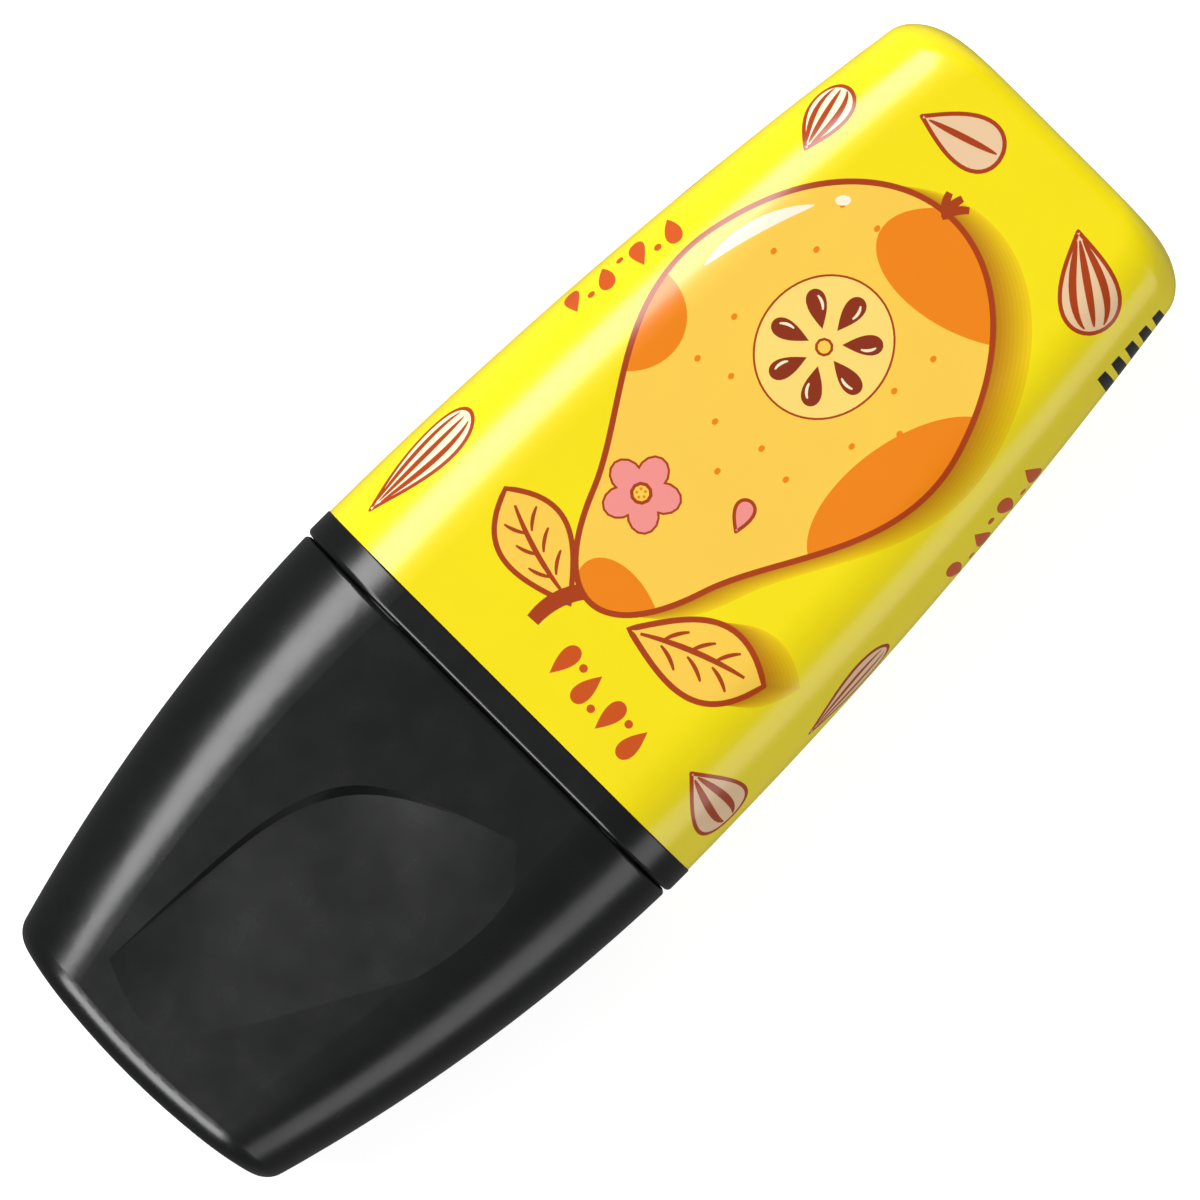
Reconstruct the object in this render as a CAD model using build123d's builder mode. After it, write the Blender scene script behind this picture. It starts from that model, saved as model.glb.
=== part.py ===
from build123d import *

import os
from math import hypot, radians, sin, sqrt

# A pocket highlighter lying on its flat back, cap on. Millimetres.
# X runs along the pen from the cap's closed end to the barrel's rear, Y across its width, Z up.
# Every outer section is a rounded rectangle centred on the pen's axis.

# Whole pen
LENGTH = 74.0
THICKNESS = 16.0
MID_Z = THICKNESS / 2
CAP_END = -LENGTH / 2
REAR_END = LENGTH / 2
COLLAR_FRONT = -8.44
COLLAR_BACK = -6.70
CAP_MOUTH = COLLAR_FRONT - 0.10
MOUTH_CORNER = 6.3

# Barrel form: half-width = half - taper * d - bow * d^2, with d counted from the collar
BARREL_HALF, BARREL_TAPER, BARREL_BOW = 14.28, 0.00873, 0.00166
REAR_CORNER = 4.4
TURN_LENGTH, TURN_DEPTH = 2.4, 3.5
REAR_EDGE = 1.1

# Cap form: the same law counted from the mouth, and thinner towards the closed end
CAP_HALF, CAP_TAPER, CAP_BOW = 14.24, 0.0279, 0.00472
CAP_THINNING = 0.0026
CAP_CORNER = 4.6
DOME_RADIUS = 49.0
CAP_EDGE = 1.6
PAST_END, PAST_MOUTH = 1.5, 1.0
CAVITY_PAST = 0.8
MOUTH_EDGE = 0.25

# How far a joined piece runs into its neighbour, and how far a cut runs past what it cuts
OVERLAP = 0.5
PAST = 1.0

# Walls and films
FILM = 0.10
FILM_GAP = 0.02
FLAT_TRIM = 0.01
WALL = 1.1
CAP_WALL = 1.3
SKIN = FILM + FILM_GAP
WINDOW_WIDTH, WINDOW_HEIGHT, WINDOW_CORNER = 14.0, 10.0, 3.0

# Front section: collar, plug, neck and nose
COLLAR_HALF = 14.34
COLLAR_EDGE, COLLAR_BACK_EDGE = 0.3, 0.12
PLUG_END = 0.3
PLUG_GAP = 0.04
PLUG_WALL = 1.2
PLUG_ROOT = 0.3
BEAD_X, BEAD_WIDTH, BEAD_HEIGHT = -3.0, 0.8, 0.15
BEAD_ROOM = 0.1
LAND_END = -12.4
LAND = (12.0, 6.3, 6.0)
SHOULDER = -20.4
SHOULDER_OVAL = (7.5, 5.5, 5.3)
NECK_WALL = 1.3
NECK_BULGE = 0.25
NOSE_END = -27.2
NOSE_RADIUS = 4.3
NOSE_CHAMFER = 0.8
GUIDE_END = -14.0
GUIDE_WALL = 1.1
VENT_WIDTH, VENT_DEPTH = 0.8, 0.5
WEB = 1.0
WEB_SETBACK = 0.8

# Nib
NIB_TIP = -32.6
NIB_TAIL = -0.6
NIB_WIDTH, NIB_THICKNESS, NIB_CORNER = 5.0, 3.2, 0.5
NIB_SLANT = 1.6
WEDGE_LENGTH, WEDGE_THICKNESS = 3.2, 1.3
NIB_GAP = 0.02

# Ink reservoir and its film
RESERVOIR_FRONT, RESERVOIR_BACK = -4.6, 32.4
RESERVOIR_RADIUS = 5.25
WRAP_GAP, WRAP_WALL = 0.03, 0.15
WRAP_RADIUS = RESERVOIR_RADIUS + WRAP_GAP + WRAP_WALL
SEAT_GAP = 0.05
FIN_START = 6.0
CAVITY_BACK = 35.5
STOP_RADIUS = 3.0

# Inner cap
LINER_MOUTH, LINER_END = -21.2, -34.4
LINER_BORE, LINER_RADIUS = 4.36, 5.10
LINER_END_WALL = 0.8
LINER_ROUND, LINER_CHAMFER = 0.5, 0.35
LINER_BEAD_X, LINER_BEAD_WIDTH, LINER_BEAD = -32.4, 0.8, 0.12
SOCKET_GAP = 0.03
SOCKET_FRONT = -30.4
SOCKET_WALL = 0.9
SOCKET_CORE = 3.6

# Cap guide ribs
RIB = 1.0
RIB_SPREAD = 5.0
RIB_GAP = 0.06
RIB_FRONT = 0.6
LONG_RIB, SHORT_RIB = 12.0, 6.0

# Thumb recess on each broad face of the cap: the crease that bounds it, as distance from the mouth, y
# and depth, and how far its wall slopes in at each of those points for every millimetre of depth.
# Its floor's depth falls from the crease as a power of the distance from where the recess begins.
CREASE = [
    (24.5, 5.2, 0.0), (21.0, 5.1, 0.25), (16.9, 4.9, 0.51), (11.1, 4.05, 0.64), (8.1, 2.5, 0.66),
    (6.25, 0.0, 0.44), (3.75, -6.3, 0.0),
]
CREASE_DRAFT = [0.6, 0.6, 0.6, 0.7, 0.85, 0.85, 0.9]
RECESS_REACH = 6.5
RECESS_POWER = 1.15
RECESS_LIFT = 0.03
RECESS_SWEEP = 14.0
CREASE_MARGIN = 0.4
RECESS_STATIONS = 16
RECESS_ROWS = [0.0, 0.08, 0.2, 0.35, 0.5, 0.7, 0.85, 1.0, 1.15]


def share(x, start, end):
    """How far x is from start to end, as a fraction."""
    return (x - start) / (end - start)


def barrel_half_width(x):
    d = x - COLLAR_BACK
    return BARREL_HALF - BARREL_TAPER * d - BARREL_BOW * d**2


def barrel_corner(x):
    return MOUTH_CORNER + (REAR_CORNER - MOUTH_CORNER) * share(x, COLLAR_BACK, REAR_END)


def cap_half_width(x):
    d = CAP_MOUTH - x
    return CAP_HALF - CAP_TAPER * d - CAP_BOW * d**2


def cap_half_thickness(x):
    return MID_Z - CAP_THINNING * (CAP_MOUTH - x) ** 2


def cap_corner(x):
    return MOUTH_CORNER + (CAP_CORNER - MOUTH_CORNER) * share(x, CAP_MOUTH, CAP_END)


def rounding(x, end, length, depth):
    """How far a quarter-ellipse corner, length long and depth deep, has cut in at x."""
    along = min(1.0, max(0.0, x - (end - length)) / length)
    return depth * (1 - sqrt(1 - along**2))


def spread(start, end, steps):
    """Evenly spaced places from start to end."""
    return [start + (end - start) * i / steps for i in range(steps + 1)]


def across(x):
    """The plane across the pen at x, centred on its axis, facing +X, with its own x along +Y."""
    return Plane(origin=(x, 0, MID_Z), x_dir=(0, 1, 0), z_dir=(1, 0, 0))


def oval(x, half_width, half_thickness, corner):
    with BuildSketch(across(x)) as outline:
        RectangleRounded(2 * half_width, 2 * half_thickness, corner)
    return outline.sketch


def disc(x, radius):
    with BuildSketch(across(x)) as outline:
        Circle(radius)
    return outline.sketch


def inset(size, amount):
    """An oval's half-width, half-thickness and corner, all drawn in by amount."""
    return [value - amount for value in size]


def barrel_band(start, end, depth, over=0.0):
    """Sections of a plain stretch of the barrel's form, depth inside its surface."""
    return [
        oval(x, barrel_half_width(x) - depth, MID_Z - depth + over, barrel_corner(x) - depth)
        for x in spread(start, end, 4)
    ]


def barrel_turn(start, end, depth, over):
    """Sections that close round the barrel's rear corners and edges, bunched up towards the end."""
    sections = []
    for angle in spread(0, 90, 10):
        x = start + (end - start) * sin(radians(angle))
        edge = rounding(x, end, REAR_EDGE, REAR_EDGE)
        half_width = barrel_half_width(x) - depth - rounding(x, end, TURN_LENGTH, TURN_DEPTH)
        sections.append(oval(x, half_width, MID_Z - depth + over - edge, barrel_corner(x) - depth - edge))
    return sections


def barrel_body(depth, over=0.0):
    """The barrel's form as a solid, depth inside its surface.

    over makes it a little too thick, for a slab to trim to true flats.
    """
    end = REAR_END - depth
    turn = end - TURN_LENGTH
    with BuildPart() as body:
        loft(sections=barrel_band(COLLAR_BACK, turn, depth, over))
        loft(sections=barrel_turn(turn, end, depth, over))
    return body.part


def cap_form(depth):
    """Sections of the cap's form, depth inside its surface, run past both of its ends."""
    return [
        oval(x, cap_half_width(x) - depth, cap_half_thickness(x) - depth, cap_corner(x) - depth)
        for x in spread(CAP_END - PAST_END, CAP_MOUTH + PAST_MOUTH, 6)
    ]


def cap_plan(depth, mouth):
    """The cap seen from above, depth inside its domed end, wider than the cap at the sides."""
    reach = 1.4 * CAP_HALF
    end, radius = CAP_END + depth, DOME_RADIUS - depth
    side = end + radius - sqrt(radius**2 - reach**2)
    with BuildSketch() as plan:
        with BuildLine():
            ThreePointArc((side, -reach), (end, 0), (side, reach))
            Polyline((side, reach), (mouth, reach), (mouth, -reach), (side, -reach))
        make_face()
    return plan.sketch


def rod(start, end, radius):
    """A round bar along the pen's axis."""
    with BuildPart() as bar:
        extrude(disc(start, radius), amount=end - start)
    return bar.part


def block(low, high):
    """A box between two corners."""
    with BuildPart() as made:
        with Locations(tuple((a + b) / 2 for a, b in zip(low, high))):
            Box(*[b - a for a, b in zip(low, high)])
    return made.part


def finish(made, name):
    made.label = name
    export_step(made, f"parts/{name}.step")


def make_barrel():
    """Moulded shell, closed at the rear, with fins that hold the reservoir on its axis."""
    inner = SKIN + WALL
    with BuildPart() as fins:
        add(block((FIN_START, -WEB / 2, 0), (CAVITY_BACK, WEB / 2, THICKNESS)))
        add(block((FIN_START, -BARREL_HALF, MID_Z - WEB / 2), (CAVITY_BACK, BARREL_HALF, MID_Z + WEB / 2)))
        loft(sections=barrel_band(FIN_START, CAVITY_BACK, SKIN + WALL / 2), mode=Mode.INTERSECT)
        seat_end = RESERVOIR_BACK + SEAT_GAP
        add(rod(FIN_START, seat_end, WRAP_RADIUS + SEAT_GAP), mode=Mode.SUBTRACT)
        add(rod(seat_end, CAVITY_BACK, STOP_RADIUS), mode=Mode.SUBTRACT)
    with BuildPart() as barrel:
        add(barrel_body(SKIN))
        loft(sections=barrel_band(COLLAR_BACK - OVERLAP, CAVITY_BACK, inner), mode=Mode.SUBTRACT)
        groove = (BEAD_X - BEAD_WIDTH / 2 - BEAD_ROOM, BEAD_X + BEAD_WIDTH / 2 + BEAD_ROOM)
        loft(sections=barrel_band(*groove, inner - BEAD_HEIGHT - PLUG_GAP), mode=Mode.SUBTRACT)
        add(fins.part)
    finish(barrel.part, "barrel")


def make_printed_sleeve():
    """Shrink film on the barrel, turned over the rear edge and open there in a window."""
    with BuildPart() as sleeve:
        add(barrel_body(0.0, over=FLAT_TRIM))
        add(block((-LENGTH, -LENGTH, 0), (LENGTH, LENGTH, THICKNESS)), mode=Mode.INTERSECT)
        add(barrel_body(FILM), mode=Mode.SUBTRACT)
        window = oval(REAR_END - PAST, WINDOW_WIDTH / 2, WINDOW_HEIGHT / 2, WINDOW_CORNER)
        extrude(window, amount=2 * PAST, mode=Mode.SUBTRACT)
    finish(sleeve.part, "printed_sleeve")


def make_front_section():
    """Collar with a plug that snaps into the barrel, a hollow oval neck and the nib's nose."""
    outer = SKIN + WALL + PLUG_GAP
    inner = outer + PLUG_WALL
    bead = (BEAD_X - BEAD_WIDTH / 2, BEAD_X + BEAD_WIDTH / 2)
    middle = (LAND_END + SHOULDER) / 2
    middle_oval = [(a + b) / 2 + NECK_BULGE for a, b in zip(LAND, SHOULDER_OVAL)]
    places = [(SHOULDER, SHOULDER_OVAL), (middle, middle_oval), (LAND_END, LAND)]
    nib_slot = (NIB_WIDTH / 2 + NIB_GAP, NIB_THICKNESS / 2 + NIB_GAP, NIB_CORNER)
    with BuildPart() as hollow:
        loft(sections=[oval(x, *inset(size, NECK_WALL)) for x, size in places])
        back_of_shoulder = (SHOULDER + NECK_WALL, -BARREL_HALF, 0)
        add(block(back_of_shoulder, (LAND_END + OVERLAP, BARREL_HALF, THICKNESS)), mode=Mode.INTERSECT)
    with BuildPart() as web_pair:
        for side in (-1, 1):
            ends = sorted((side * WRAP_RADIUS, side * (BARREL_HALF - outer - PLUG_WALL / 2)))
            front_corner = (COLLAR_BACK, ends[0], MID_Z - WEB / 2)
            add(block(front_corner, (PLUG_END - WEB_SETBACK, ends[1], MID_Z + WEB / 2)))
        add(rod(COLLAR_BACK, PLUG_END, WRAP_RADIUS + SEAT_GAP), mode=Mode.SUBTRACT)
    with BuildPart() as front:
        extrude(oval(COLLAR_FRONT, COLLAR_HALF, MID_Z, MOUTH_CORNER), amount=COLLAR_BACK - COLLAR_FRONT)
        fillet(front.faces().sort_by(Axis.X)[0].edges(), radius=COLLAR_EDGE)
        fillet(front.faces().sort_by(Axis.X)[-1].edges(), radius=COLLAR_BACK_EDGE)
        loft(sections=barrel_band(COLLAR_BACK - PLUG_ROOT, PLUG_END, outer))
        loft(sections=barrel_band(*bead, outer - BEAD_HEIGHT))
        extrude(oval(LAND_END, *LAND), amount=COLLAR_FRONT - LAND_END + OVERLAP)
        loft(sections=[oval(x, *size) for x, size in places])
        extrude(disc(NOSE_END, NOSE_RADIUS), amount=SHOULDER - NOSE_END + OVERLAP)
        chamfer(front.faces().sort_by(Axis.X)[0].edges(), length=NOSE_CHAMFER)
        # hollow, from the barrel side to just behind the shoulder
        loft(sections=barrel_band(COLLAR_BACK - PLUG_ROOT, PLUG_END + OVERLAP, inner), mode=Mode.SUBTRACT)
        throat = oval(LAND_END, *inset(LAND, NECK_WALL))
        extrude(throat, amount=COLLAR_BACK - LAND_END, mode=Mode.SUBTRACT)
        add(hollow.part, mode=Mode.SUBTRACT)
        # the tube that guides the nib, behind the shoulder
        guide = oval(SHOULDER, *[value + GUIDE_WALL for value in nib_slot])
        extrude(guide, amount=GUIDE_END - SHOULDER)
        add(web_pair.part)
        slot_length = GUIDE_END - NOSE_END + 2 * OVERLAP
        extrude(oval(NOSE_END - OVERLAP, *nib_slot), amount=slot_length, mode=Mode.SUBTRACT)
        vent_top = NIB_THICKNESS / 2 + VENT_DEPTH
        vents = oval(NOSE_END - OVERLAP, VENT_WIDTH / 2, vent_top, VENT_WIDTH / 4)
        extrude(vents, amount=slot_length, mode=Mode.SUBTRACT)
    finish(front.part, "front_section")


def make_nib():
    """Chisel nib: a flat fibre stick with a slanted, wedge-shaped writing edge."""
    half = NIB_WIDTH / 2
    with BuildPart() as nib:
        extrude(oval(NIB_TIP, half, NIB_THICKNESS / 2, NIB_CORNER), amount=NIB_TAIL - NIB_TIP)
        with BuildSketch() as plan:
            with BuildLine():
                tail = NIB_TAIL + PAST
                slanted = (NIB_TIP + NIB_SLANT, -half)
                Polyline((NIB_TIP, half), (tail, half), (tail, -half), slanted, close=True)
            make_face()
        extrude(plan.sketch, amount=THICKNESS, mode=Mode.INTERSECT)
        with BuildSketch(Plane.XZ) as side:
            with BuildLine():
                slim, full = WEDGE_THICKNESS / 2, NIB_THICKNESS
                wedge_end = NIB_TIP + WEDGE_LENGTH * (full - slim) / (NIB_THICKNESS / 2 - slim)
                upper = [(NIB_TIP, MID_Z + slim), (wedge_end, MID_Z + full), (NIB_TAIL, MID_Z + full)]
                lower = [(x, 2 * MID_Z - z) for x, z in reversed(upper)]
                Polyline(*upper, *lower, close=True)
            make_face()
        extrude(side.sketch, amount=NIB_WIDTH, both=True, mode=Mode.INTERSECT)
    finish(nib.part, "nib")


def make_ink_reservoir():
    """Fibre rod that holds the ink, with a slot in its front that the nib's tail is pushed into."""
    with BuildPart() as reservoir:
        add(rod(RESERVOIR_FRONT, RESERVOIR_BACK, RESERVOIR_RADIUS))
        half_width, half_thickness = NIB_WIDTH / 2 + SEAT_GAP, NIB_THICKNESS / 2 + SEAT_GAP
        slot = oval(RESERVOIR_FRONT - OVERLAP, half_width, half_thickness, NIB_CORNER)
        extrude(slot, amount=NIB_TAIL - RESERVOIR_FRONT + 2 * OVERLAP, mode=Mode.SUBTRACT)
    finish(reservoir.part, "ink_reservoir")


def make_reservoir_wrap():
    """Film tube round the reservoir, open at both ends."""
    with BuildPart() as wrap:
        add(rod(RESERVOIR_FRONT, RESERVOIR_BACK, WRAP_RADIUS))
        bore = rod(RESERVOIR_FRONT - PAST, RESERVOIR_BACK + PAST, RESERVOIR_RADIUS + WRAP_GAP)
        add(bore, mode=Mode.SUBTRACT)
    finish(wrap.part, "reservoir_wrap")


def make_inner_cap():
    """Soft cup inside the cap that slides over the nose and keeps the nib from drying."""
    with BuildPart() as liner:
        add(rod(LINER_END, LINER_MOUTH, LINER_RADIUS))
        fillet(liner.faces().sort_by(Axis.X)[0].edges(), radius=LINER_ROUND)
        bead_start = LINER_BEAD_X - LINER_BEAD_WIDTH / 2
        add(rod(bead_start, bead_start + LINER_BEAD_WIDTH, LINER_RADIUS + LINER_BEAD))
        bore = rod(LINER_END + LINER_END_WALL, LINER_MOUTH + PAST, LINER_BORE)
        add(bore, mode=Mode.SUBTRACT)
        mouth = liner.faces().sort_by(Axis.X)[-1].edges().sort_by(SortBy.LENGTH)[0]
        chamfer(mouth, length=LINER_CHAMFER)
    finish(liner.part, "inner_cap")


def recess_chord():
    """Unit vector of the crease's chord in plan, and the crease's far end as (x, y)."""
    end, start = [(CAP_MOUTH - d, y) for d, y, _ in (CREASE[0], CREASE[-1])]
    length = hypot(start[0] - end[0], start[1] - end[1])
    return ((start[0] - end[0]) / length, (start[1] - end[1]) / length), end


def crease_curve(level):
    """The crease's sloping wall at one level, counted up from the cap's face or down from the floor."""
    (ux, uy), _ = recess_chord()
    points = []
    for (d, y, depth), draft in zip(CREASE, CREASE_DRAFT):
        x = CAP_MOUTH - d
        drop = -level if level > 0 else depth - level
        points.append((x + uy * draft * drop, y - ux * draft * drop, MID_Z + cap_half_thickness(x) - drop))
    with BuildLine() as curve:
        Spline(points)
    return curve.line.edge()


def recess_floor():
    """Floor that sinks from nothing, at a line parallel to the crease's chord, to the foot of the wall."""
    (ux, uy), end = recess_chord()
    foot = crease_curve(0)
    grid = []
    for t in spread(0, 1, RECESS_STATIONS):
        x, y, z = foot @ t
        depth = MID_Z + cap_half_thickness(x) - z + RECESS_LIFT
        reach = -uy * (x - end[0]) + ux * (y - end[1]) + RECESS_REACH
        row = []
        for q in RECESS_ROWS:
            px, py = x + uy * reach * (1 - q), y - ux * reach * (1 - q)
            face = MID_Z + cap_half_thickness(px) + RECESS_LIFT
            row.append(Vector(px, py, face - depth * q**RECESS_POWER))
        grid.append(row)
    return Face.make_surface_from_array_of_points(grid, tol=0.001)


def recess_tool():
    """What is cut from the upper broad face: all above the floor, inside the crease's sloping wall."""
    (ux, uy), _ = recess_chord()
    wall = Face.make_surface_from_curves(crease_curve(CREASE_MARGIN), crease_curve(-CREASE_MARGIN))
    with BuildPart() as tool:
        add(Solid.extrude(recess_floor(), Vector(0, 0, THICKNESS / 4)))
        add(Solid.extrude(wall, Vector(uy, -ux, 0) * RECESS_SWEEP), mode=Mode.INTERSECT)
    return tool.part


def make_cap_shell():
    """Tapering shell with a domed end, thumb recesses, guide ribs and a socket for the inner cap."""
    sill = RIB_FRONT
    with BuildPart() as fittings:
        for side in (-1, 1):
            for y in (-RIB_SPREAD, RIB_SPREAD):
                wall, tip = sorted((MID_Z + side * MID_Z, MID_Z + side * (LAND[1] + RIB_GAP)))
                add(block((CAP_MOUTH - LONG_RIB, y - RIB / 2, wall), (CAP_MOUTH - sill, y + RIB / 2, tip)))
            for z in (MID_Z - 2 * RIB, MID_Z + 2 * RIB):
                wall, tip = sorted((side * CAP_HALF, side * (LAND[0] + RIB_GAP)))
                add(block((CAP_MOUTH - SHORT_RIB, wall, z - RIB / 2), (CAP_MOUTH - sill, tip, z + RIB / 2)))
        socket = LINER_RADIUS + SOCKET_GAP
        add(rod(CAP_END, SOCKET_FRONT, socket + SOCKET_WALL))
        loft(sections=cap_form(CAP_WALL / 2), mode=Mode.INTERSECT)
        extrude(cap_plan(CAP_WALL / 2, CAP_MOUTH), amount=THICKNESS, mode=Mode.INTERSECT)
    with BuildPart() as cavity:
        loft(sections=cap_form(CAP_WALL))
        extrude(cap_plan(CAP_WALL, CAP_MOUTH + CAVITY_PAST), amount=THICKNESS, mode=Mode.INTERSECT)
    with BuildPart() as cap:
        loft(sections=cap_form(0.0))
        extrude(cap_plan(0.0, CAP_MOUTH), amount=THICKNESS, both=True, mode=Mode.INTERSECT)
        fillet(cap.faces().filter_by(GeomType.CYLINDER).edges(), radius=CAP_EDGE)
        fillet(cap.faces().sort_by(Axis.X)[-1].edges(), radius=MOUTH_EDGE)
        tool = recess_tool()
        add(tool, mode=Mode.SUBTRACT)
        add(tool.rotate(Axis((0, 0, MID_Z), (1, 0, 0)), 180), mode=Mode.SUBTRACT)
        add(cavity.part, mode=Mode.SUBTRACT)
        add(fittings.part)
        add(rod(LINER_END - SEAT_GAP, SOCKET_FRONT + PAST, socket), mode=Mode.SUBTRACT)
        groove = LINER_BEAD_X - LINER_BEAD_WIDTH / 2 - BEAD_ROOM
        groove_end = groove + LINER_BEAD_WIDTH + 2 * BEAD_ROOM
        add(rod(groove, groove_end, socket + LINER_BEAD + SOCKET_GAP), mode=Mode.SUBTRACT)
        add(rod(CAP_END + CAP_WALL, LINER_END, SOCKET_CORE), mode=Mode.SUBTRACT)
    finish(cap.part, "cap_shell")


os.makedirs("parts", exist_ok=True)
make_barrel()
make_printed_sleeve()
make_front_section()
make_nib()
make_ink_reservoir()
make_reservoir_wrap()
make_inner_cap()
make_cap_shell()
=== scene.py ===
from math import cos, pi, radians, sin

import bpy
import numpy as np
from mathutils import Matrix, Vector
from mathutils.geometry import delaunay_2d_cdt
from mathutils.kdtree import KDTree


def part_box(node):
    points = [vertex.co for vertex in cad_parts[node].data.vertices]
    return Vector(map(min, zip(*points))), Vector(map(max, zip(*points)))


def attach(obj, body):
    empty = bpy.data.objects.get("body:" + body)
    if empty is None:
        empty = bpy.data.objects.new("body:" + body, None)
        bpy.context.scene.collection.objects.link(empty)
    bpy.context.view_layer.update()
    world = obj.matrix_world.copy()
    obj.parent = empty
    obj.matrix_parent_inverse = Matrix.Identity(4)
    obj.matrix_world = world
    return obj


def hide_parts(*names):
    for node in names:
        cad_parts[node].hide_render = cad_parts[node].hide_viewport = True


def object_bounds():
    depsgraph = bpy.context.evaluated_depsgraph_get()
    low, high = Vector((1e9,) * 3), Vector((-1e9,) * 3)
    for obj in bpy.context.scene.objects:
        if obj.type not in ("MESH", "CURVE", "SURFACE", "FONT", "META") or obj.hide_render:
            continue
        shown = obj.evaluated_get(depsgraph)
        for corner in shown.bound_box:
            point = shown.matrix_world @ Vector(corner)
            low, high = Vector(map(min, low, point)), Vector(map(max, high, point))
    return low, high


# A pocket highlighter lying on its back, cap on. The shapes below are worked out in millimetres and
# turned into metres when a mesh is made. X runs along the pen, Y across it and Z up. The print is laid
# out on the sleeve unrolled, then wrapped round it.

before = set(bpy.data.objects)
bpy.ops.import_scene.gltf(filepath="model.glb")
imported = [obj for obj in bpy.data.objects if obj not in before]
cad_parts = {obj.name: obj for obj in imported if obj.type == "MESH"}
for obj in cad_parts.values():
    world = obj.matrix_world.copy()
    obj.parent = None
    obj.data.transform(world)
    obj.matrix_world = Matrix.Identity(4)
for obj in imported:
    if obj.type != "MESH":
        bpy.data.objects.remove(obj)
cad_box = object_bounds()
scene = bpy.context.scene
MM = 0.001

# ---------------------------------------------------------------- the printed sleeve's form

sleeve_low, sleeve_high = (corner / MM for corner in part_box("printed_sleeve"))
FRONT, END = sleeve_low.x, sleeve_high.x
HALF_WIDTH = sleeve_high.y
HALF_THICKNESS = (sleeve_high.z - sleeve_low.z) / 2
MID_Z = (sleeve_high.z + sleeve_low.z) / 2
FILM = 0.1

# The half-width falls by TAPER d + BOW d^2 at a distance d from the front, and the section's corner
# radius runs evenly from FRONT_CORNER to REAR_CORNER.
TAPER, BOW = 0.00873, 0.00166
FRONT_CORNER, REAR_CORNER = 6.3, 4.4

# At the rear the sides turn in over a quarter ellipse, and the faces over a small rounded edge.
TURN_LENGTH, TURN_DEPTH = 2.4, 3.5
REAR_EDGE = 1.1
TURN_START = END - TURN_LENGTH
TURN_STOP = TURN_START + TURN_LENGTH * pi / 2

# The window left in the rear end: its half-width, half-thickness and corner radius, and the length of v
# that the end's flat rim takes up.
WINDOW = (7.0, 5.0, 3.0)
CLOSING = 1.9


def quarter(x, length, depth):
    """How far a quarter-ellipse corner at the rear end has cut in at x."""
    along = np.clip((x - (END - length)) / length, 0, 1)
    return depth * (1 - np.sqrt(1 - along**2))


def sleeve_section(v):
    """Place along the pen, half-width, half-thickness and corner of the section at v.

    v is x on the straight part, then runs on round the rear corners and in to the rear window.
    """
    angle = np.clip((v - TURN_START) / TURN_LENGTH, 0, pi / 2)
    x = np.minimum(v, TURN_START) + TURN_LENGTH * np.sin(angle)
    d = x - FRONT
    edge = quarter(x, REAR_EDGE, REAR_EDGE)
    half_width = HALF_WIDTH - TAPER * d - BOW * d**2 - quarter(x, TURN_LENGTH, TURN_DEPTH)
    corner = FRONT_CORNER + (REAR_CORNER - FRONT_CORNER) * d / (END - FRONT) - edge
    size = np.array([half_width, HALF_THICKNESS - edge, corner])
    inward = np.clip((v - TURN_STOP) / CLOSING, 0, 1)
    return x, size + (np.array(WINDOW)[:, None] - size) * inward


def half_round(size):
    """Half the distance round a section."""
    half_width, half_thickness, corner = size
    return 2 * (half_width + half_thickness) - (4 - pi) * corner


GRID_HALF = float(half_round(sleeve_section(np.array([FRONT]))[1])[0])


def sleeve_points(v, u):
    """Points of the sleeve's outer surface.

    u runs round it, and is 0 in the middle of the front and GRID_HALF in the middle of the back.
    """
    x, size = sleeve_section(v)
    half_width, half_thickness, corner = size
    turn = (u / GRID_HALF + 1) % 2 - 1
    s = np.abs(turn) * half_round(size)
    flat, arc, side = half_width - corner, corner * pi / 2, 2 * (half_thickness - corner)
    first = np.clip((s - flat) / corner, 0, pi / 2)
    second = np.clip((s - flat - arc - side) / corner, 0, pi / 2)
    back = np.clip(s - flat - 2 * arc - side, 0, None)
    y = np.minimum(s, flat) + corner * (np.sin(first) - 1 + np.cos(second)) - back
    down = np.clip(s - flat - arc, 0, side)
    z = half_thickness - corner * (1 - np.cos(first)) - down - corner * np.sin(second)
    return np.column_stack((x, np.sign(turn) * y, MID_Z + z))


def sleeve_normals(v, u):
    """Outward normals at the same places."""
    step = 1e-4
    along = sleeve_points(v + step, u) - sleeve_points(v - step, u)
    round_it = sleeve_points(v, u + step) - sleeve_points(v, u - step)
    normals = np.cross(along, round_it)
    return normals / np.linalg.norm(normals, axis=1)[:, None]


# ---------------------------------------------------------------- outlines to print with

# How finely outlines are drawn. Their points stay within about half a millimetre of each other, so that
# they follow the sleeve round its corners.
POINTS_PER_SIZE, FEWEST_POINTS = 4, 10
DROP_POINTS, LEAF_POINTS, PATH_POINTS = 44, 25, 14

DROP_FULLNESS, DROP_POWER = 0.62, 1.2
LEAF_LEAN = 0.35
BRUSH_POWER = 0.7


def around(count):
    """Angles spaced evenly round a full turn."""
    return np.linspace(0, 2 * pi, count, endpoint=False)


def ellipse(length, width):
    t = around(max(FEWEST_POINTS, int(POINTS_PER_SIZE * (length + width))))
    return np.column_stack((length / 2 * np.cos(t), width / 2 * np.sin(t)))


def drop_path(length, width, t):
    """Points of a drop's edge at the angles t. Its blunt end is at pi and its point, towards +x, at 0."""
    side = DROP_FULLNESS * width * np.sin(t) * np.sin(t / 2) ** DROP_POWER
    return np.column_stack((length / 2 * np.cos(t), side))


def drop(length, width):
    """The outline of a seed, a pip or a drop."""
    return drop_path(length, width, around(DROP_POINTS))


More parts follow.
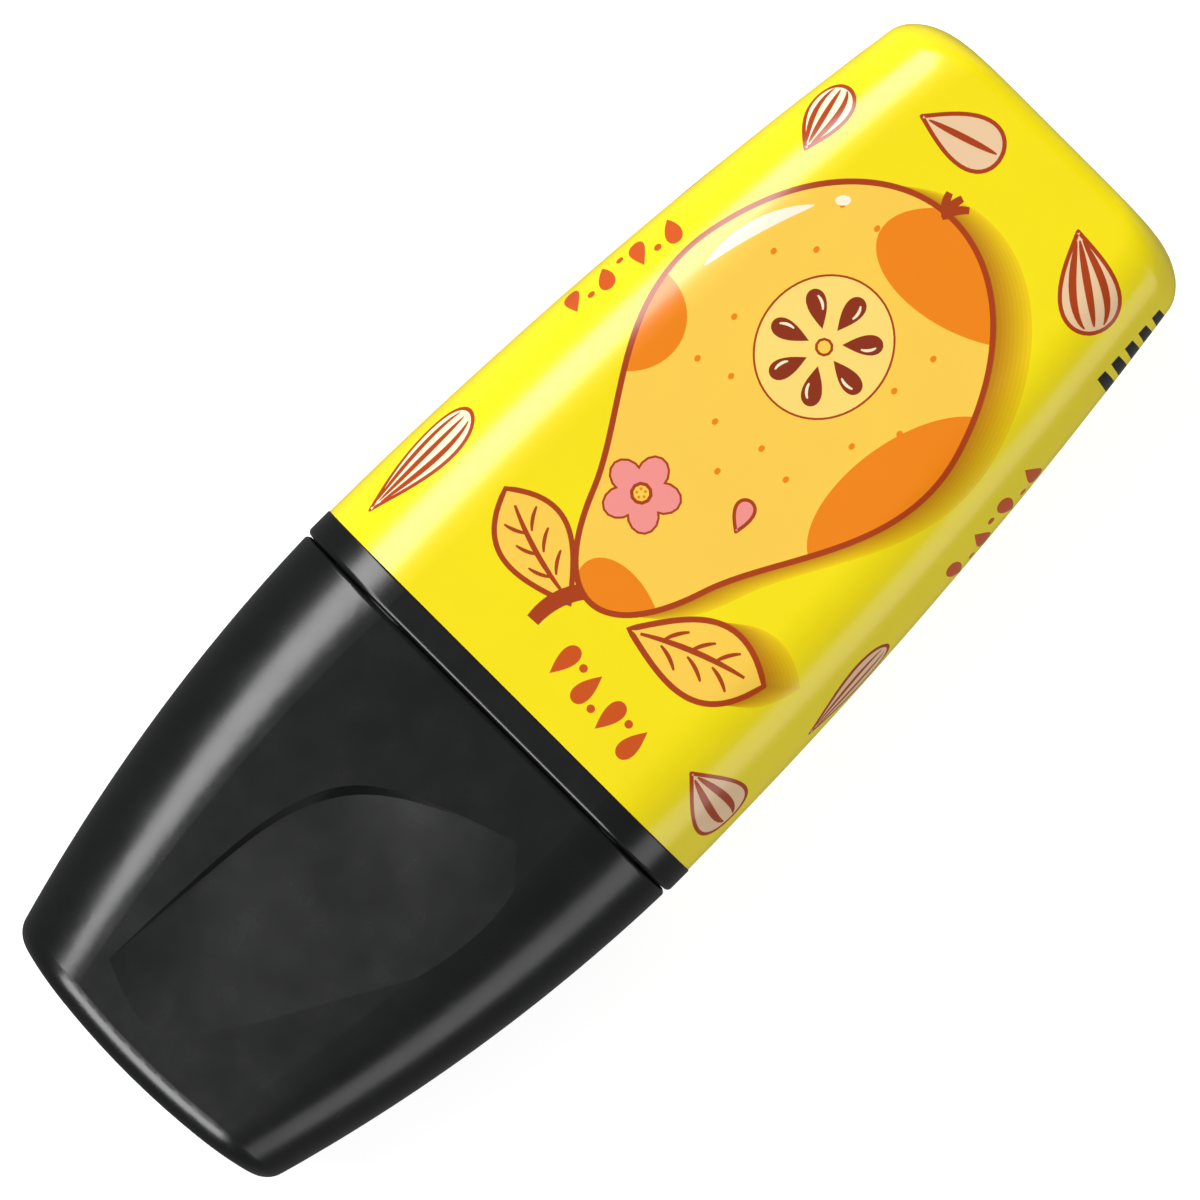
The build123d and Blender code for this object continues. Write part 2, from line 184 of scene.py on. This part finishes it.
def leaf(length, width):
    """A leaf's outline, pointed at both ends."""
    t = np.linspace(-1, 1, LEAF_POINTS)
    edge = width / 2 * (1 - t**2) * (1 + LEAF_LEAN * t)
    upper = np.column_stack((length / 2 * t, edge))
    return np.vstack((upper, (upper * (1, -1))[-2:0:-1]))


def bow(start, end, sag):
    """A path between two points that bulges by sag to its left."""
    start, end = np.array(start, float), np.array(end, float)
    along = (end - start) / np.linalg.norm(end - start)
    t = np.linspace(0, 1, PATH_POINTS)[:, None]
    return start + (end - start) * t + np.array((-along[1], along[0])) * sag * 4 * t * (1 - t)


def stroke(path, width, thin=0.12):
    """A brush stroke along a path, thickest in its middle. A higher thin makes its ends blunter."""
    along = np.gradient(path, axis=0)
    side = np.column_stack((-along[:, 1], along[:, 0])) / np.linalg.norm(along, axis=1)[:, None]
    swell = np.sin(pi * np.linspace(thin, 1 - thin, len(path)))[:, None] ** BRUSH_POWER
    half = width / 2 * swell
    return np.vstack((path + side * half, (path - side * half)[::-1]))


def grown(outline, amount):
    """A closed outline moved outwards by amount."""
    along = np.roll(outline, -1, axis=0) - np.roll(outline, 1, axis=0)
    x, y = outline.T
    direction = np.sign(np.sum(x * np.roll(y, -1) - np.roll(x, -1) * y))
    side = np.column_stack((along[:, 1], -along[:, 0])) / np.linalg.norm(along, axis=1)[:, None]
    return outline + direction * amount * side


class Stamp:
    """Prints outlines on the sleeve at a place, a turn in degrees and a scale.

    x is the place along the pen and y runs round from the middle of the front, or of the back.
    """

    layers = []

    def __init__(self, x, y, turn=0.0, scale=1.0, back=False):
        c, s = cos(radians(turn)) * scale, sin(radians(turn)) * scale
        self.place = np.array((x, y))
        self.matrix = np.array(((c, s), (-s, c)))
        self.back = back

    def at(self, x, y, turn=0.0, scale=1.0):
        """A stamp within this one."""
        made = Stamp(0, 0, turn, scale, self.back)
        made.matrix = made.matrix @ self.matrix
        made.place = np.array((x, y)) @ self.matrix + self.place
        return made

    def ink(self, outline, colour, inside=None, shift=(0, 0)):
        """Lays an outline over what is printed already. inside is a layer that cuts it off."""
        x, y = (outline @ self.matrix + self.place + shift).T
        middle = GRID_HALF if self.back else 0
        u = middle + y / half_round(sleeve_section(x)[1]) * GRID_HALF
        Stamp.layers.append((np.column_stack((x, u)), colour, inside))
        return len(Stamp.layers) - 1

    def shade(self, outline):
        """A shadow that fades in small steps towards its far side."""
        for step in range(SHADES, 0, -1):
            self.ink(outline, f"shadow_{step}", shift=SHADOW * step / SHADES)

    def outlined(self, outline, colour, line):
        """A filled outline with a brown line along it, which reaches line to either side."""
        self.ink(grown(outline, line), "brown")
        return self.ink(grown(outline, -line), colour)


# ---------------------------------------------------------------- what is printed

# Pairs are a length and a width. A line says how far the brown reaches past a motif's edge, and a reach
# is the distance from a motif's middle.
LINE, FINE_LINE = 0.17, 0.1
SHADOW = np.array((1.35, -1.7))

PEAR_POINTS = 150
PEAR_HALF_LENGTH = 14.7
NECK_SIZE, BELLY_GROWTH = 5.7, 4.3
GROWTH_START, GROWTH_SPAN = 0.40, 0.42
STEM_WIDTH, TUFT_WIDTH = 0.95, 0.5
SHINE_WIDTH, SHINE_SPOT = 0.8, (0.9, 0.6)

LEAF = (8.2, 4.4)
MIDRIB_WIDTH, VEIN_WIDTH = 0.34, 0.24

PETALS, PETAL, LOOSE_PETAL = 5, (1.9, 1.6), (1.9, 1.2)
PETAL_REACH, PETAL_LINE = 1.25, 0.13
BLOSSOM_MIDDLE = (1.1, 1.1)
POLLEN, POLLEN_REACH, POLLEN_TURN = (0.18, 0.18), 0.25, 0.6

CORE, CORE_LINE = (8.2, 7.4), 0.12
CORE_MIDDLE, CORE_MIDDLE_LINE = (0.9, 0.9), 0.08
PIPS, PIP = 7, (2.3, 1.25)
PIP_REACH_ALONG, PIP_REACH_ACROSS = 2.3, 2.05
GLINT_WIDTH = 0.17

# Each fleck stands FLECK_TURN radians on from the last and FLECK_STEP farther out.
FLECKS, FLECK = 18, (0.42, 0.34)
FLECK_TURN, FLECK_REACH, FLECK_STEP = 2.4, 5.4, 0.17
FLECK_STRETCH_ALONG, FLECK_STRETCH_ACROSS = 1.1, 0.8

SEED_LINE = LINE / 1.4
STRIPE_SHARE = 0.12
STRIPE_ANGLES = np.linspace(0.62, 2.65, 16)

MARK, MARK_DOT, MARK_DOT_SHIFT = (2.2, 1.15), (0.5, 0.5), 0.55
BARS, BAR_LENGTH, BAR_WIDTH, BAR_SPACING = 5, 4, 0.75, 1.15


def pear_outline():
    """A pear with its neck towards -x, growing to its belly by a smooth step."""
    t = around(PEAR_POINTS)
    growth = np.clip((np.abs(np.sin(t / 2)) - GROWTH_START) / GROWTH_SPAN, 0, 1)
    half = NECK_SIZE + BELLY_GROWTH * growth**2 * (3 - 2 * growth)
    return np.column_stack((-PEAR_HALF_LENGTH * np.cos(t), half * np.sin(t)))


def print_leaf(stamp, shadow):
    """A leaf with a midrib and three pairs of veins."""
    shape = leaf(*LEAF)
    if shadow:
        stamp.shade(shape)
    stamp.outlined(shape, "gold", LINE)
    stamp.ink(stroke(bow((-3.4, 0), (2.9, 0), 0.25), MIDRIB_WIDTH), "brown")
    for x in (-1.6, 0.0, 1.5):
        for side in (-1, 1):
            vein = bow((x - 0.5, 0.15 * side), (x + 0.7, 1.15 * side), 0.1)
            stamp.ink(stroke(vein, VEIN_WIDTH), "brown")


def print_blossom(stamp):
    """Petals round a middle with a ring of pollen."""
    turns = around(PETALS)
    petals = [stamp.at(PETAL_REACH * cos(a), PETAL_REACH * sin(a), np.degrees(a)) for a in turns]
    for petal in petals:
        petal.ink(grown(ellipse(*PETAL), PETAL_LINE), "brown")
    for petal in petals:
        petal.ink(ellipse(*PETAL), "pink")
    stamp.outlined(ellipse(*BLOSSOM_MIDDLE), "gold", FINE_LINE)
    for a in turns + POLLEN_TURN:
        dot = stamp.at(POLLEN_REACH * cos(a), POLLEN_REACH * sin(a))
        dot.ink(ellipse(*POLLEN), "orange")


def print_core(stamp, flesh):
    """A ring of pips in a paler core, with flecks in the flesh round it."""
    stamp.ink(grown(ellipse(*CORE), CORE_LINE), "brown")
    stamp.ink(ellipse(*CORE), "pale_gold")
    for a in around(PIPS):
        along, across = PIP_REACH_ALONG * cos(a), PIP_REACH_ACROSS * sin(a)
        pip = stamp.at(along, across, np.degrees(a) + 180)
        pip.ink(drop(*PIP), "dark_brown")
        pip.ink(stroke(bow((-0.75, 0.15), (0.1, 0.25), 0.1), GLINT_WIDTH), "cream")
    stamp.outlined(ellipse(*CORE_MIDDLE), "gold", CORE_MIDDLE_LINE)
    for step in range(FLECKS):
        angle, reach = FLECK_TURN * step, FLECK_REACH + FLECK_STEP * step
        along = FLECK_STRETCH_ALONG * reach * cos(angle)
        across = FLECK_STRETCH_ACROSS * reach * sin(angle)
        stamp.at(along, across).ink(ellipse(*FLECK), "orange", inside=flesh)


def print_pear(stamp):
    """A pear with its stem, two leaves, a blossom, a blush at its edges and a shadow under it."""
    outline = pear_outline()
    stamp.shade(outline)
    print_leaf(stamp.at(-14.4, 4.3, 72, 0.9), shadow=False)
    print_leaf(stamp.at(-12.9, -6.4, -70), shadow=True)
    stamp.ink(stroke(bow((-13.9, 0.1), (-17.6, 1.7), -0.5), STEM_WIDTH, thin=0.3), "brown")
    flesh = stamp.outlined(outline, "gold", LINE)
    for x, y, length, width, turn in (
        (-1.6, 9.6, 6.4, 7.0, 25),
        (13.2, -3.4, 6.6, 12.0, 18),
        (1.6, -9.0, 13.0, 6.6, -12),
        (-14.2, -1.6, 4.2, 7.0, -20),
    ):
        blush = stamp.at(x, y, turn)
        blush.ink(ellipse(length, width), "orange", inside=flesh)
    print_core(stamp.at(4.6, 0.2, 4), flesh)
    print_blossom(stamp.at(-8.3, 2.1, 12))
    stamp.at(-5.4, -2.9, 200).outlined(drop(*LOOSE_PETAL), "pink", FINE_LINE)
    shine = stroke(bow((3.4, 8.2), (10.0, 6.0), 0.5), SHINE_WIDTH, thin=0.01)
    stamp.ink(shine, "shine", inside=flesh)
    stamp.at(11.3, 5.0, -45).ink(ellipse(*SHINE_SPOT), "shine", inside=flesh)
    for turn in (-35, 0, 35):
        tuft = stamp.at(14.6, 0.2, turn)
        tuft.ink(stroke(bow((-0.2, 0), (1.3, 0), 0.15), TUFT_WIDTH, thin=0.25), "brown")


def print_seed(stamp, length, width, fill, stripes):
    """A seed whose stripes run at these shares of its half-width."""
    stamp.outlined(drop(length, width), fill, SEED_LINE)
    for share in stripes:
        path = drop_path(length, width * share, STRIPE_ANGLES)
        stamp.ink(stroke(path, STRIPE_SHARE * width, thin=0.03), "brown")


def print_marks(stamp, spacing, count):
    """A row of small drops with dots between them."""
    for i in range(count):
        x = (i - (count - 1) / 2) * spacing
        way = 1 if i % 2 else -1
        stamp.at(x, 0, 90 * way).ink(drop(*MARK), "rust")
        if i < count - 1:
            dot = stamp.at(x + spacing / 2, MARK_DOT_SHIFT * way)
            dot.ink(ellipse(*MARK_DOT), "rust")


def print_bars(stamp):
    """A block of equal plain black bars."""
    bar = stroke(bow((0, -BAR_LENGTH), (0, 0), 0), BAR_WIDTH, thin=0.3)
    for i in range(BARS):
        stamp.at(BAR_SPACING * i, 0).ink(bar, "black")


STRIPES, LINES, ONE_LINE = (-0.55, 0.0, 0.55), (-0.35, 0.3), (0.0,)


def print_front():
    """The front, with what runs over onto its two sides."""
    print_pear(Stamp(14.7, 0.75, 2))
    print_seed(Stamp(-1.1, 13.2, 180), 7.9, 3.3, "cream", STRIPES)
    print_seed(Stamp(28.4, 10.5, 200), 4.3, 3.2, "cream", STRIPES)
    print_seed(Stamp(33.0, 4.0, 108), 5.0, 3.3, "tan", ONE_LINE)
    print_seed(Stamp(32.2, -6.7, 55), 5.8, 3.7, "tan", STRIPES)
    print_seed(Stamp(-2.9, -13.0, 86), 5.0, 3.9, "tan", LINES)
    print_seed(Stamp(6.8, -14.9, 185), 6.6, 2.5, "tan", LINES)
    print_marks(Stamp(14.6, 13.1, -13), 2.3, 4)
    print_marks(Stamp(-3.6, -4.0, 84), 2.0, 4)
    print_marks(Stamp(19.2, -14.0, 9), 2.3, 4)
    print_bars(Stamp(29.2, -11.6))


def print_side_and_back():
    """Nothing is known of the far side and the back, so they carry on with the same motifs."""
    print_seed(Stamp(22.0, 16.6, 15), 5.0, 2.9, "cream", STRIPES)
    print_seed(Stamp(6.5, 19.4, 160), 6.0, 3.0, "tan", LINES)
    print_seed(Stamp(33.0, 15.6, 250), 4.2, 2.8, "tan", ONE_LINE)
    print_pear(Stamp(13.8, -0.5, 176, 0.8, back=True))
    print_seed(Stamp(-2.6, 8.6, 30, back=True), 5.2, 3.3, "cream", STRIPES)
    print_seed(Stamp(-2.4, -5.0, 110, back=True), 5.0, 3.4, "tan", ONE_LINE)
    print_seed(Stamp(32.4, 4.6, 70, back=True), 5.0, 3.4, "tan", STRIPES)
    print_seed(Stamp(30.6, -8.4, 215, back=True), 5.0, 3.2, "cream", STRIPES)
    print_seed(Stamp(14.0, -12.6, 190, back=True), 5.6, 3.0, "tan", LINES)
    print_marks(Stamp(5.0, -11.0, 12, back=True), 2.3, 4)
    print_marks(Stamp(11.0, 12.2, -6, back=True), 2.3, 4)
    print_marks(Stamp(25.0, 10.8, 12, back=True), 2.1, 3)


# ---------------------------------------------------------------- materials

LIT = 1.1
NOISE_LOW, NOISE_HIGH = 0.3, 0.7
GLOSS_PATCH = 2.2
COLOUR_DETAIL, GRAIN_DETAIL = 3.0, 2.0


def srgb(red, green, blue):
    """A paint that shows these 0 to 255 screen values where the studio lights it LIT times over."""
    screen = [value / 255 for value in (red, green, blue)]
    linear = [c / 12.92 if c <= 0.04045 else ((c + 0.055) / 1.055) ** 2.4 for c in screen]
    return [c / LIT for c in linear]


def noise(tree, place, size, detail=COLOUR_DETAIL):
    """Noise with features about size millimetres across."""
    node = tree.nodes.new("ShaderNodeTexNoise")
    node.inputs["Scale"].default_value = 1 / (size * MM)
    node.inputs["Detail"].default_value = detail
    tree.links.new(place, node.inputs["Vector"])
    return node.outputs["Fac"]


def ranged(tree, value, low, high):
    """Noise, which mostly stays between NOISE_LOW and NOISE_HIGH, spread from low to high."""
    node = tree.nodes.new("ShaderNodeMapRange")
    node.inputs["From Min"].default_value = NOISE_LOW
    node.inputs["From Max"].default_value = NOISE_HIGH
    node.inputs["To Min"].default_value = low
    node.inputs["To Max"].default_value = high
    tree.links.new(value, node.inputs["Value"])
    return node.outputs["Result"]


def material(name, colour, mottle, gloss, grain, fibre=1.0, drift=5.0, **sockets):
    """A surface whose colour drifts by mottle, whose roughness varies over gloss, with a fine grain.

    grain is (size, height) and drift the size of the colour's patches, in millimetres. fibre draws the
    pattern out along the pen.
    """
    made = bpy.data.materials.new(name)
    made.use_nodes = True
    tree = made.node_tree
    shader = tree.nodes["Principled BSDF"]
    coordinates = tree.nodes.new("ShaderNodeTexCoord")
    stretch = tree.nodes.new("ShaderNodeMapping")
    stretch.inputs["Scale"].default_value = (1 / fibre, 1, 1)
    tree.links.new(coordinates.outputs["Object"], stretch.inputs["Vector"])
    place = stretch.outputs["Vector"]
    blend = tree.nodes.new("ShaderNodeMix")
    blend.data_type = "RGBA"
    blend.inputs["A"].default_value = (*[c * (1 - mottle) for c in colour], 1)
    blend.inputs["B"].default_value = (*[min(1, c * (1 + mottle)) for c in colour], 1)
    tree.links.new(ranged(tree, noise(tree, place, drift), 0, 1), blend.inputs["Factor"])
    tree.links.new(blend.outputs["Result"], shader.inputs["Base Color"])
    roughness = ranged(tree, noise(tree, place, GLOSS_PATCH), *gloss)
    tree.links.new(roughness, shader.inputs["Roughness"])
    bump = tree.nodes.new("ShaderNodeBump")
    grain_size, grain_height = grain
    bump.inputs["Distance"].default_value = grain_height * MM
    tree.links.new(noise(tree, place, grain_size, GRAIN_DETAIL), bump.inputs["Height"])
    tree.links.new(bump.outputs["Normal"], shader.inputs["Normal"])
    for socket, value in sockets.items():
        shader.inputs[socket.replace("_", " ")].default_value = value
    return made


INKS = {
    "yellow": (250, 229, 3),
    "gold": (254, 208, 78),
    "pale_gold": (255, 222, 118),
    "orange": (243, 134, 2),
    "brown": (172, 60, 4),
    "dark_brown": (140, 44, 6),
    "rust": (206, 82, 12),
    "cream": (250, 238, 198),
    "tan": (240, 204, 162),
    "pink": (246, 150, 143),
    "shine": (255, 247, 222),
    "black": (22, 22, 24),
}
DEEP_SHADOW, PALE_SHADOW = np.array((190, 126, 0)), np.array((242, 206, 0))
SHADES = 9
for step in range(SHADES):
    share = step / (SHADES - 1)
    INKS[f"shadow_{step + 1}"] = tuple(DEEP_SHADOW * (1 - share) + PALE_SHADOW * share)


def ink_material(name):
    """Gravure ink under a clear, slightly rippled shrink film."""
    gloss = {"Coat_Weight": 0.9, "Coat_Roughness": 0.22, "Specular_IOR_Level": 0.1}
    return material(f"film_{name}", srgb(*INKS[name]), 0.015, (0.40, 0.48), (1.6, 0.004), **gloss)


# ---------------------------------------------------------------- the printed sleeve's mesh

GRID_STEP = 0.8
TURN_STEPS, CLOSING_STEPS = 12, 3

# Grid points nearer than CLEARANCE to an outline are left out. WELD and SAME_POINT_DIGITS say how close
# two points are when they count as one, unrolled and in space.
CLEARANCE = 0.2
WELD = 1e-5
SAME_POINT_DIGITS = 4


def stations():
    """Values of v, evenly spaced on each stretch of the sleeve."""
    straight = np.linspace(FRONT, TURN_START, int((TURN_START - FRONT) / GRID_STEP) + 1)
    turning = np.linspace(TURN_START, TURN_STOP, TURN_STEPS + 1)[1:]
    closing = np.linspace(TURN_STOP, TURN_STOP + CLOSING, CLOSING_STEPS + 1)[1:]
    return np.concatenate((straight, turning, closing))


def sleeve_border(vs, us):
    """The unrolled sleeve's edge, one way round."""
    return np.vstack((
        np.column_stack((vs[:-1], np.full(len(vs) - 1, us[0]))),
        np.column_stack((np.full(len(us) - 1, vs[-1]), us[:-1])),
        np.column_stack((vs[:0:-1], np.full(len(vs) - 1, us[-1]))),
        np.column_stack((np.full(len(us) - 1, vs[0]), us[:0:-1])),
    ))


def covers(outline, places):
    """Which of the places an outline goes round."""
    (x, y), (ahead_x, ahead_y) = outline.T, np.roll(outline, -1, axis=0).T
    low, high = outline.min(axis=0), outline.max(axis=0)
    found = np.all((places > low) & (places < high), axis=1)
    px, py = places[found].T[:, :, None]
    level = (y > py) != (ahead_y > py)
    rise = np.where(ahead_y == y, 1, ahead_y - y)
    crossed = level & (px < x + (py - y) * (ahead_x - x) / rise)
    found[found] = crossed.sum(axis=1) % 2 == 1
    return found


def inks_at(places):
    """Which ink shows at each place: the last one laid over it."""
    names = list(INKS)
    shown = np.full(len(places), names.index("yellow"))
    covered = []
    for outline, ink, inside in Stamp.layers:
        found = covers(outline, places)
        covered.append(found)
        if inside is not None:
            found = found & covered[inside]
        shown[found] = names.index(ink)
    return shown


def sleeve_triangles():
    """The unrolled sleeve cut into triangles along every printed outline, and each one's ink."""
    vs = stations()
    us = np.linspace(-GRID_HALF / 2, 1.5 * GRID_HALF, int(2 * GRID_HALF / GRID_STEP) + 1)
    outlines = [sleeve_border(vs, us)] + [outline for outline, _, _ in Stamp.layers]
    starts = np.cumsum([0] + [len(outline) for outline in outlines])
    faces = [list(range(a, b)) for a, b in zip(starts, starts[1:])]
    edges = np.vstack(outlines)
    near = KDTree(len(edges))
    for i, (v, u) in enumerate(edges):
        near.insert((v, u, 0), i)
    near.balance()
    grid = [(v, u) for v in vs[1:-1] for u in us[1:-1] if near.find((v, u, 0))[2] > CLEARANCE]
    places = [Vector(place) for place in [*edges, *grid]]
    all_triangles, with_sources = 0, False
    cut = delaunay_2d_cdt(places, [], faces, all_triangles, WELD, with_sources)
    points, _, triangles, _, _, _ = cut
    points, triangles = np.array(points), np.array(triangles)
    return points, triangles, inks_at(points[triangles].mean(axis=1))


def make_sleeve():
    """The film as a closed skin, its printed face outside, with true normals all over."""
    flat, triangles, inks = sleeve_triangles()
    v, u = flat.T
    outer, normals = sleeve_points(v, u), sleeve_normals(v, u)
    rounded = np.round(outer, SAME_POINT_DIGITS)
    _, first, merged = np.unique(rounded, axis=0, return_index=True, return_inverse=True)
    triangles = merged.ravel()[triangles]
    outer, normals = outer[first], normals[first]
    a, b, c = outer[triangles].transpose(1, 0, 2)
    flipped = np.sum(np.cross(b - a, c - a) * normals[triangles[:, 0]], axis=1) < 0
    triangles[flipped] = triangles[flipped][:, ::-1]
    sides = np.vstack((triangles[:, [0, 1]], triangles[:, [1, 2]], triangles[:, [2, 0]]))
    known = {tuple(side) for side in sides.tolist()}
    rims = [side for side in known if side[::-1] not in known]
    count = len(outer)
    faces = triangles.tolist() + (triangles[:, ::-1] + count).tolist()
    faces += [(q, p, p + count, q + count) for p, q in sorted(rims)]
    mesh = bpy.data.meshes.new("sleeve_film")
    mesh.from_pydata((np.vstack((outer, outer - FILM * normals)) * MM).tolist(), [], faces)
    for name in INKS:
        mesh.materials.append(ink_material(name))
    plain = [0] * (len(faces) - len(inks))
    mesh.polygons.foreach_set("material_index", [*inks.tolist(), *plain])
    mesh.polygons.foreach_set("use_smooth", [True] * len(faces))
    mesh.update()
    both = np.vstack((normals, -normals))
    skins = 2 * len(triangles)
    shading = [both[corner] for face in faces[:skins] for corner in face]
    shading += [rim.normal for rim in mesh.polygons[skins:] for _ in rim.vertices]
    mesh.normals_split_custom_set(shading)
    sleeve = bpy.data.objects.new("sleeve_film", mesh)
    scene.collection.objects.link(sleeve)
    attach(sleeve, "pen")
    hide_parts("printed_sleeve")


# ---------------------------------------------------------------- materials of the CAD pieces

def dress(node, made):
    """Gives a CAD node its material."""
    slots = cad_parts[node].data.materials
    slots.clear()
    slots.append(made)


def dress_cad_pieces():
    """Gives the seven CAD pieces that keep their own shapes their materials."""
    black = material("black_plastic", srgb(16, 17, 17), 0.12, (0.24, 0.28), (0.4, 0.001))
    yellow = material("yellow_plastic", srgb(250, 226, 20), 0.02, (0.34, 0.42), (0.15, 0.002))
    tip = {"fibre": 18, "drift": 0.3, "Sheen_Weight": 0.3, "Sheen_Roughness": 0.6}
    rod = {"fibre": 25, "drift": 0.4, "Sheen_Weight": 0.3, "Sheen_Roughness": 0.6}
    nib = material("nib_fibre", srgb(236, 240, 40), 0.14, (0.75, 0.9), (0.12, 0.03), **tip)
    reservoir = material("reservoir_fibre", srgb(226, 232, 60), 0.12, (0.7, 0.9), (0.15, 0.05), **rod)
    wrap = material("wrap_film", srgb(238, 236, 190), 0.03, (0.2, 0.3), (1.2, 0.01))
    liner = material("liner_plastic", srgb(236, 236, 228), 0.03, (0.36, 0.46), (0.2, 0.003))
    dress("cap_shell", black)
    dress("front_section", black)
    dress("barrel", yellow)
    dress("nib", nib)
    dress("ink_reservoir", reservoir)
    dress("reservoir_wrap", wrap)
    dress("inner_cap", liner)


# ---------------------------------------------------------------- camera, light and floor

# In millimetres.
VIEW_WIDTH = 67.8
VIEW_SHIFT = (0.37, 0.34)
LENS, SENSOR = 300, 36
FLOOR_REACH, FLOOR_GAP = 3000, 0.02

# In metres: the camera's range, and how far the softboxes stand from the pen.
NEAREST, FARTHEST = 0.01, 20
LIGHT_DISTANCE = 2.0

FILL = 0.13
FLOOR_GREY, FLOOR_GLOW = 0.4, 0.9


def aimed(x_axis, y_axis, z_axis, place):
    """The matrix of an object with these axes at a place in millimetres."""
    turn = Matrix((x_axis, y_axis, z_axis)).transposed().to_4x4()
    return Matrix.Translation(Vector(place) * MM) @ turn


def make_camera():
    """Square above the pen, which runs from the lower left to the upper right."""
    right, up = Vector((1, -1, 0)).normalized(), Vector((1, 1, 0)).normalized()
    camera = bpy.data.objects.new("camera", bpy.data.cameras.new("camera"))
    camera.data.lens, camera.data.sensor_width = LENS, SENSOR
    distance = VIEW_WIDTH / SENSOR * LENS
    place = right * VIEW_SHIFT[0] + up * VIEW_SHIFT[1] + Vector((0, 0, MID_Z + distance))
    camera.matrix_world = aimed(right, up, Vector((0, 0, 1)), place)
    camera.data.clip_start, camera.data.clip_end = NEAREST, FARTHEST
    scene.collection.objects.link(camera)
    scene.camera = camera


def make_softbox(name, tilt, toward, length, width, radiance, along=(1, 0, 0), gloss_only=False):
    """A rectangular light, tilted from overhead towards a side, with its length along a direction.

    length and width are in metres. A light that is gloss_only shows in glossy reflections and adds
    nothing to diffuse light.
    """
    lamp = bpy.data.lights.new(name, "AREA")
    lamp.shape = "RECTANGLE"
    lamp.size, lamp.size_y = length, width
    lamp.energy = radiance * pi * length * width
    box = bpy.data.objects.new(name, lamp)
    scene.collection.objects.link(box)
    angle = radians(tilt)
    back = Vector(toward).normalized() * sin(angle) + Vector((0, 0, 1)) * cos(angle)
    along = Vector(along)
    x_axis = (along - back * back.dot(along)).normalized()
    box.matrix_world = aimed(x_axis, back.cross(x_axis), back, back * LIGHT_DISTANCE / MM)
    box.visible_camera = False
    box.visible_diffuse = not gloss_only


def make_lights():
    """Two softboxes along the pen's sides, one beyond the cap, and a dim white surround."""
    make_softbox("key", 42, (0, 1, 0), 2.4, 0.9, 9.0, along=(0.77, 0.48, -0.43))
    make_softbox("rim", 75, (0, -1, 0), 2.2, 1.0, 2.0)
    make_softbox("end", 50, (-1, 0, 0), 1.6, 1.0, 9.0, along=(0, 1, 0), gloss_only=True)
    world = bpy.data.worlds.new("studio")
    world.use_nodes = True
    background = world.node_tree.nodes["Background"]
    background.inputs["Color"].default_value = (1, 1, 1, 1)
    background.inputs["Strength"].default_value = FILL
    scene.world = world
    scene.view_settings.view_transform = "Standard"


def make_floor():
    """A plain pale floor just under the pen."""
    low = Vector(cad_box[0]) / MM
    height = low.z - FLOOR_GAP
    square = [(-1, -1), (1, -1), (1, 1), (-1, 1)]
    corners = [Vector((FLOOR_REACH * x, FLOOR_REACH * y, height)) * MM for x, y in square]
    mesh = bpy.data.meshes.new("floor")
    mesh.from_pydata(corners, [], [(0, 1, 2, 3)])
    glow = {"Emission_Color": (1, 1, 1, 1), "Emission_Strength": FLOOR_GLOW}
    grey = (FLOOR_GREY, FLOOR_GREY, FLOOR_GREY)
    mesh.materials.append(material("floor", grey, 0.0, (0.8, 0.9), (2.0, 0.001), **glow))
    floor = bpy.data.objects.new("floor", mesh)
    scene.collection.objects.link(floor)
    floor.visible_glossy = False


make_camera()
make_lights()
make_floor()
print_front()
print_side_and_back()
make_sleeve()
dress_cad_pieces()
